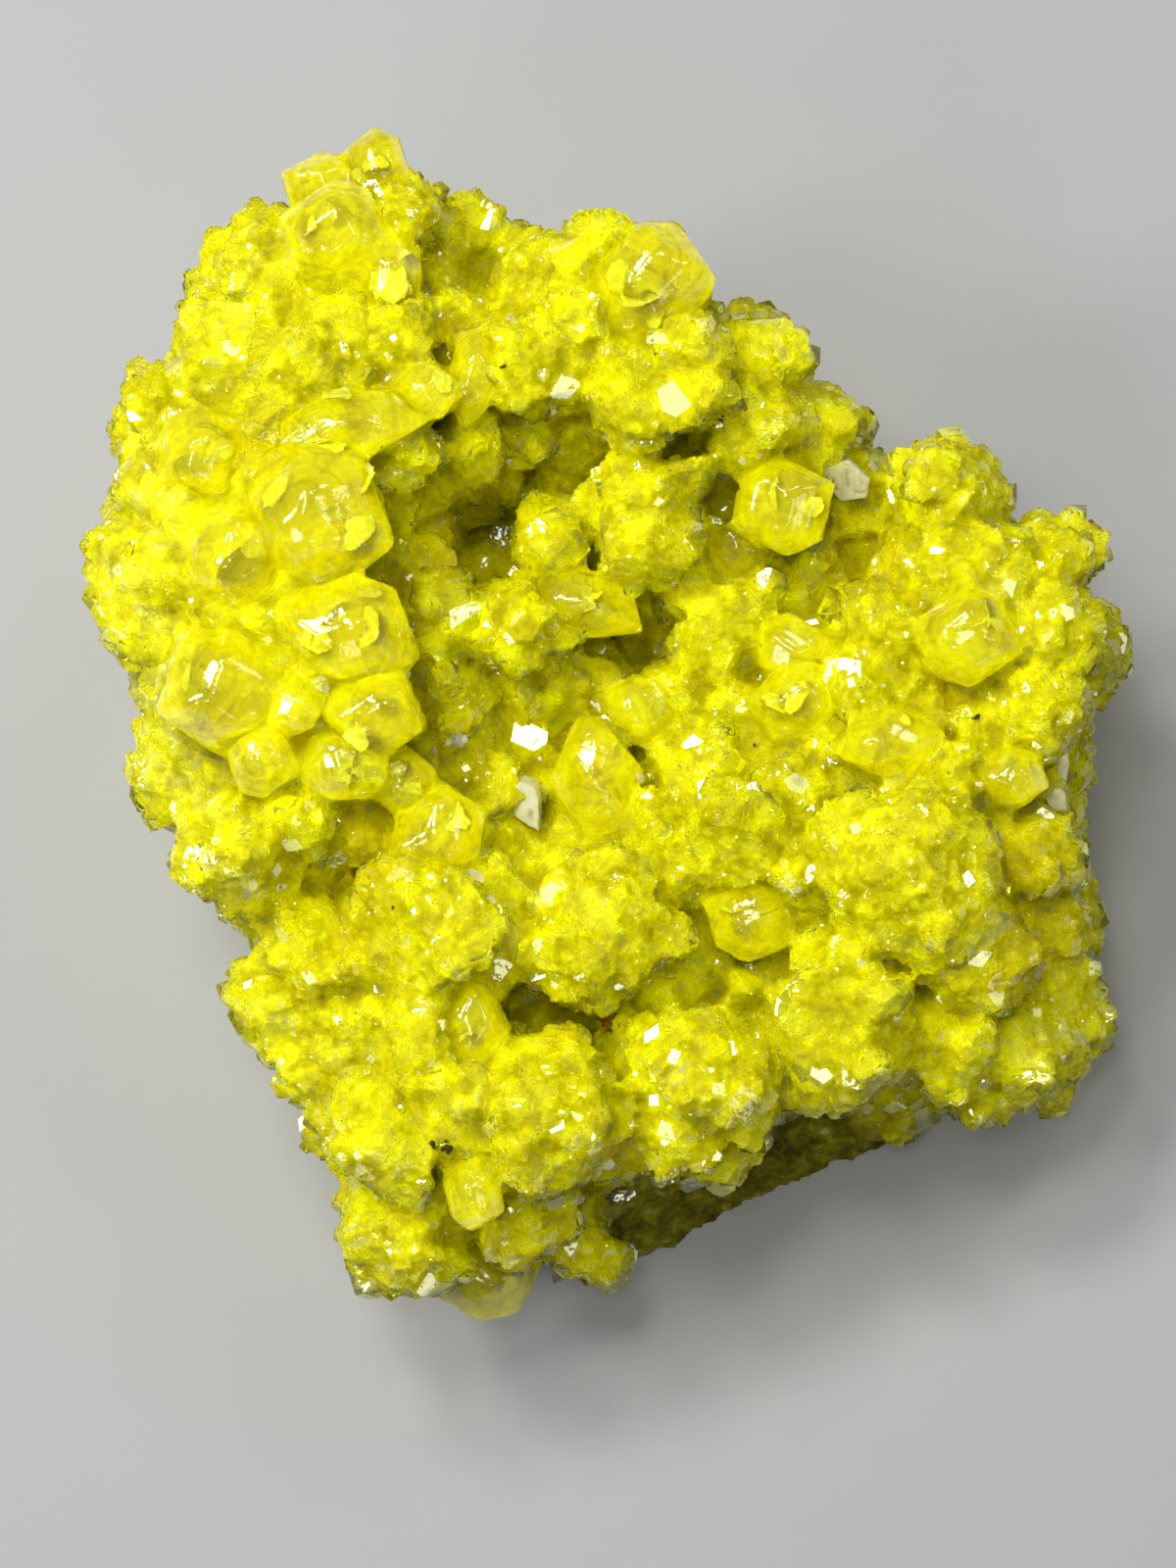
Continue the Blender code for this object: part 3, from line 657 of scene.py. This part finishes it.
def node(tree, kind, settings=None, stops=(), **inputs):
    """Adds a node: its settings, a colour ramp's stops, and the values or sockets that its inputs take."""
    made = tree.nodes.new("ShaderNode" + kind)
    for key, value in (settings or {}).items():
        setattr(made, key, value)
    if stops:
        elements = made.color_ramp.elements
        while len(elements) < len(stops):
            elements.new(0.5)
        for element, (position, colour) in zip(elements, stops):
            element.position, element.color = position, linear(colour)
    feed(made, **inputs)
    return made


def material(name):
    """A new material, its node tree and its shader."""
    made = bpy.data.materials.new(name)
    made.use_nodes = True
    return made, made.node_tree, made.node_tree.nodes["Principled BSDF"]


def massive_sulfur():
    """Massive sulfur: waxy and translucent, so light soaks in; its hollows are also painted darker and
    golden, as painted shade.

    Each layer of colour lies over those before it, as far as its share on the mesh says.
    """
    made, tree, shader = material("massive sulfur")
    place = node(tree, "TexCoord").outputs["Object"]
    mottle = node(
        tree, "TexNoise", Vector=place, Scale=1 / (2.5 * MM), Detail=6.0, Roughness=0.7, Distortion=0.3
    ).outputs["Fac"]
    fine = node(
        tree, "TexNoise", Vector=place, Scale=1 / (0.8 * MM), Detail=4.0, Roughness=0.6
    ).outputs["Fac"]
    bright = [(0.3, "#BEB400"), (0.42, "#DACF00"), (0.54, "#F0EA00"), (0.7, "#FFFD00")]
    colour = node(tree, "ValToRGB", stops=bright, Fac=mottle).outputs["Color"]
    layers = {
        # painted shade: darker olive in the hollows and deep places
        "shade": (mottle, [(0.35, "#A89A00"), (0.6, "#CCC200")]),
        # painted shade: golden and darker in the listed crevices
        "golden_shade": (mottle, [(0.35, "#CCB800"), (0.55, "#E4D600"), (0.7, "#F4EC00")]),
        "dull": (mottle, [(0.34, "#A0961A"), (0.48, "#CBC238"), (0.6, "#E2DA66"), (0.72, "#F0EA9C")]),
        # painted shadow on the lower broken wall, with pale flecks
        "dark": (mottle, [(0.36, "#4A4404"), (0.5, "#807806"), (0.6, "#A8A018"), (0.68, "#DCD88C")]),
        "cream": (fine, [(0.35, "#F2EC20"), (0.5, "#FCF860"), (0.65, "#FFFFA4")]),
    }
    for name, (pattern, stops) in layers.items():
        share = node(tree, "Attribute", {"attribute_name": name}).outputs["Fac"]
        layer = node(tree, "ValToRGB", stops=stops, Fac=pattern).outputs["Color"]
        colour = node(tree, "Mix", {"data_type": "RGBA"}, i0=share, i6=colour, i7=layer).outputs[2]
    bump = node(tree, "Bump", Height=fine, Strength=0.9, Distance=0.5 * MM)
    shader.subsurface_method = "BURLEY"
    feed(shader, Base_Color=colour, Normal=bump.outputs["Normal"], Roughness=0.25, IOR=1.96)
    feed(shader, Specular_IOR_Level=0.05, Subsurface_Weight=1.0, Subsurface_Scale=0.7 * MM)
    feed(shader, Subsurface_Radius=(1.0, 1.0, 0.08))
    return made


def sugar_sulfur():
    """Small sulfur crystals: bright adamantine faces over a clear lemon-yellow body."""
    made, tree, shader = material("sulfur crystals, sugary")
    place = node(tree, "TexCoord").outputs["Object"]
    etched = node(tree, "TexNoise", Vector=place, Scale=1 / (0.6 * MM), Detail=1.0).outputs["Fac"]
    bump = node(tree, "Bump", Height=etched, Strength=0.35, Distance=0.05 * MM)
    feed(shader, Base_Color=linear("#FBFF68"), Roughness=0.05, IOR=1.96, Transmission_Weight=1.0)
    feed(shader, Normal=bump.outputs["Normal"])
    return made


def clear_sulfur():
    """Clear sulfur crystal: see-through, strongly bending, yellow from its own depth."""
    made, tree, shader = material("sulfur crystal, clear")
    place = node(tree, "TexCoord").outputs["Object"]
    etched = node(
        tree, "TexNoise", Vector=place, Scale=1 / (0.9 * MM), Detail=3.0, Distortion=1.0
    ).outputs["Fac"]
    bump = node(tree, "Bump", Height=etched, Strength=0.3, Distance=0.12 * MM)
    feed(shader, Base_Color=linear("#F8FF98"), Roughness=0.04, IOR=1.96, Transmission_Weight=1.0)
    feed(shader, Normal=bump.outputs["Normal"])
    depth = node(tree, "VolumeAbsorption", Color=linear("#FFFD20"), Density=1 / (1.6 * MM))
    feed(tree.nodes["Material Output"], Volume=depth.outputs["Volume"])
    return made


def calcite():
    """Calcite: cream-white, cloudy, with a satin cleavage face and faint brown stains."""
    made, tree, shader = material("calcite")
    place = node(tree, "TexCoord").outputs["Object"]
    cloud = node(
        tree, "TexNoise", Vector=place, Scale=1 / (1.3 * MM), Detail=4.0, Roughness=0.6, Distortion=0.8
    ).outputs["Fac"]
    stops = [(0.3, "#B9A878"), (0.42, "#EDE6BE"), (0.6, "#FBF8DC")]
    colour = node(tree, "ValToRGB", stops=stops, Fac=cloud).outputs["Color"]
    steps = node(tree, "TexWave", Vector=place, Scale=1 / (1.6 * MM), Distortion=2.0, Detail=3.0)
    bump = node(tree, "Bump", Height=steps.outputs["Fac"], Strength=0.25, Distance=0.05 * MM)
    feed(shader, Base_Color=colour, Normal=bump.outputs["Normal"], Roughness=0.3, IOR=1.6)
    feed(shader, Subsurface_Weight=0.7, Subsurface_Scale=0.8 * MM, Subsurface_Radius=(1, 1, 0.7))
    return made


def fracture_veil():
    """A healed fracture in clear sulfur: it scatters pale yellow in the see-through crystal round it."""
    made, tree, shader = material("sulfur, healed fracture")
    place = node(tree, "TexCoord").outputs["Object"]
    feather = node(
        tree, "TexNoise", Vector=place, Scale=1 / (0.5 * MM), Detail=4.0, Distortion=1.5
    ).outputs["Fac"]
    colour = node(tree, "ValToRGB", stops=[(0.4, "#F0F010"), (0.6, "#FFFF90")], Fac=feather).outputs["Color"]
    feed(shader, Base_Color=colour, Roughness=0.25, IOR=1.96)
    return made


def stain(name, dark, light):
    """A foreign speck, mottled between two colours."""
    made, tree, shader = material(name)
    place = node(tree, "TexCoord").outputs["Object"]
    blotch = node(tree, "TexNoise", Vector=place, Scale=1 / (0.4 * MM), Detail=3.0).outputs["Fac"]
    colour = node(tree, "ValToRGB", stops=[(0.35, dark), (0.65, light)], Fac=blotch).outputs["Color"]
    feed(shader, Base_Color=colour, Roughness=0.5, IOR=1.55)
    return made


# ---- stage ----

def camera():
    """Square on to the crystal face, at arm's length."""
    view = bpy.data.cameras.new("camera")
    view.lens = view.sensor_width * CAMERA_AWAY / FRAME_HEIGHT
    made = placed("camera", view)
    made.location = to_rest(np.array((*FRAME_MIDDLE, CAMERA_AWAY)))
    made.rotation_euler = FACE_LEAN
    bpy.context.scene.camera = made


def softbox(name, place, power):
    """A square lamp aimed at the specimen; place in face coordinates, mm."""
    lamp = bpy.data.lights.new(name, "AREA")
    lamp.size, lamp.energy, lamp.color = LAMP_SIZE * MM, power, linear(LAMP_COLOUR)[:3]
    made = placed(name, lamp)
    made.location = to_rest(np.array(place, float))
    aim = Vector(to_rest(np.zeros(3))) - made.location
    made.rotation_euler = aim.to_track_quat("-Z", "Y").to_euler()


def stage():
    """A matt floor, a dim even sky and the softboxes."""
    data = bpy.data.meshes.new("floor")
    mesh = bmesh.new()
    bmesh.ops.create_grid(mesh, x_segments=1, y_segments=1, size=FLOOR_REACH)
    mesh.to_mesh(data)
    mesh.free()
    paper, _, shader = material("matt paper")
    feed(shader, Base_Color=linear("#D6D6E2"), Roughness=0.9)
    data.materials.append(paper)
    placed("floor", data)
    world = bpy.data.worlds.new("studio")
    bpy.context.scene.world = world
    world.use_nodes = True
    feed(world.node_tree.nodes["Background"], Color=linear("#E8ECF5"), Strength=0.12)
    for number, (*place, power) in enumerate(LAMPS, 1):
        softbox(f"softbox_{number}", place, power)
    scene = bpy.context.scene
    scene.view_settings.view_transform = "Standard"
    scene.cycles.max_bounces = 11  # through a clear crystal, off what lies behind it and out again
    scene.cycles.glossy_bounces = 5
    scene.cycles.transmission_bounces = 11
    scene.cycles.diffuse_bounces = 3


def colour_skin(data, points, normals):
    """Stores how far each layer of the massive sulfur's colour covers each place of its mesh: cream powder,
    painted shade golden and darker in the hollows and crevices, dull walls, and painted shadow on the lower
    wall.
    """
    upper = facing_up(points, normals)
    edges = edges_of(data)
    hollow = ((relaxed(points, edges, 25) - points) * normals).sum(axis=1)
    deep = relaxed(points, edges, 120)[:, 2] - points[:, 2]
    set_share(data, "cream", patches(points, CREAM) * smooth(rough(points, 1.6), -0.25, 0.3))
    # golden painted shade in the listed crevices, on the face only
    set_share(data, "golden_shade", 0.8 * patches(points, GOLDEN_SHADE_SPOTS) * upper)
    # painted shade in the hollows and in the deep middle of the face
    set_share(data, "shade", (0.75 * smooth(hollow, 0.0, 0.7) + 0.3 * smooth(deep, 0.5, 4)) * upper)
    set_share(data, "dull", (1 - upper) * 0.85)
    # The lower broken wall, turned away from the lamps, is painted dark as painted shadow, with pale flecks
    # over it.
    bearing = np.degrees(np.arctan2(points[:, 1], points[:, 0]))
    lower = smooth(bearing, -112, -98) * smooth(bearing, -38, -52) * smooth(points[:, 1], -30, -36)
    set_share(data, "dark", lower * (1 - upper))


def add_sugar(points, normals, shapes):
    """The glassy little crystals, in three sizes, all over the face except where a clear crystal stands."""
    made = sugar_sulfur()
    chance = np.random.default_rng(SUGAR_SEED)
    bare = over_clear(points, shapes, SUGAR_REACH)
    order = chance.permutation(len(points))
    order = order[(chance.uniform(0.3, 1, len(points)) < facing_up(points, normals)[order]) & ~bare[order]]
    for name, spacing, size, uneven, sink, lean in SUGAR:
        found = thinned(points, spacing, order)
        sizes = size * chance.lognormal(0, uneven, len(found))
        planes_of = low_planes if name == "sugar_fine" else lump_planes  # the many finest have fewer faces
        where, faces = grains(planes_of, points[found], normals[found], sizes, chance, sink, lean)
        add_mesh(name, where, faces, made, "sulfur").visible_shadow = False


def build():
    """Every piece of the specimen."""
    shapes = clear_shapes()
    data = skin_mesh(shapes)
    data.shade_flat()
    points, normals = to_face(points_of(data)), normals_of(data) @ TURN
    colour_skin(data, points, normals)
    make_object("massive_sulfur", data, massive_sulfur(), "sulfur", "sulfur_cluster")
    add_sugar(points, normals, shapes)

    where, faces = clear_mesh(shapes)
    data = mesh_from("clear_crystals", to_rest(where), faces)
    data.shade_smooth()
    data.set_sharp_from_angle(angle=math.radians(24))
    make_object("clear_crystals", data, clear_sulfur(), "sulfur").visible_shadow = False
    add_mesh("fracture_veils", *veil_mesh(shapes), fracture_veil(), "sulfur")

    chip = calcite()
    finishes = {
        "dark_specks": stain("bituminous inclusion", "#15170A", "#4A4A18"),
        "rust_specks": stain("iron stain", "#5A2E06", "#A8741C"),
        "pale_specks": chip,
    }
    for name, (seed, rows) in SPECKS.items():
        add_mesh(name, *specks(points, rows, seed), finishes[name], "calcite")
    for name, (outline, thick, turn) in CHIPS.items():
        make_object(name + "_cleaved", chip_mesh(name, outline, thick, turn), chip, "calcite", name)


build()
camera()
stage()
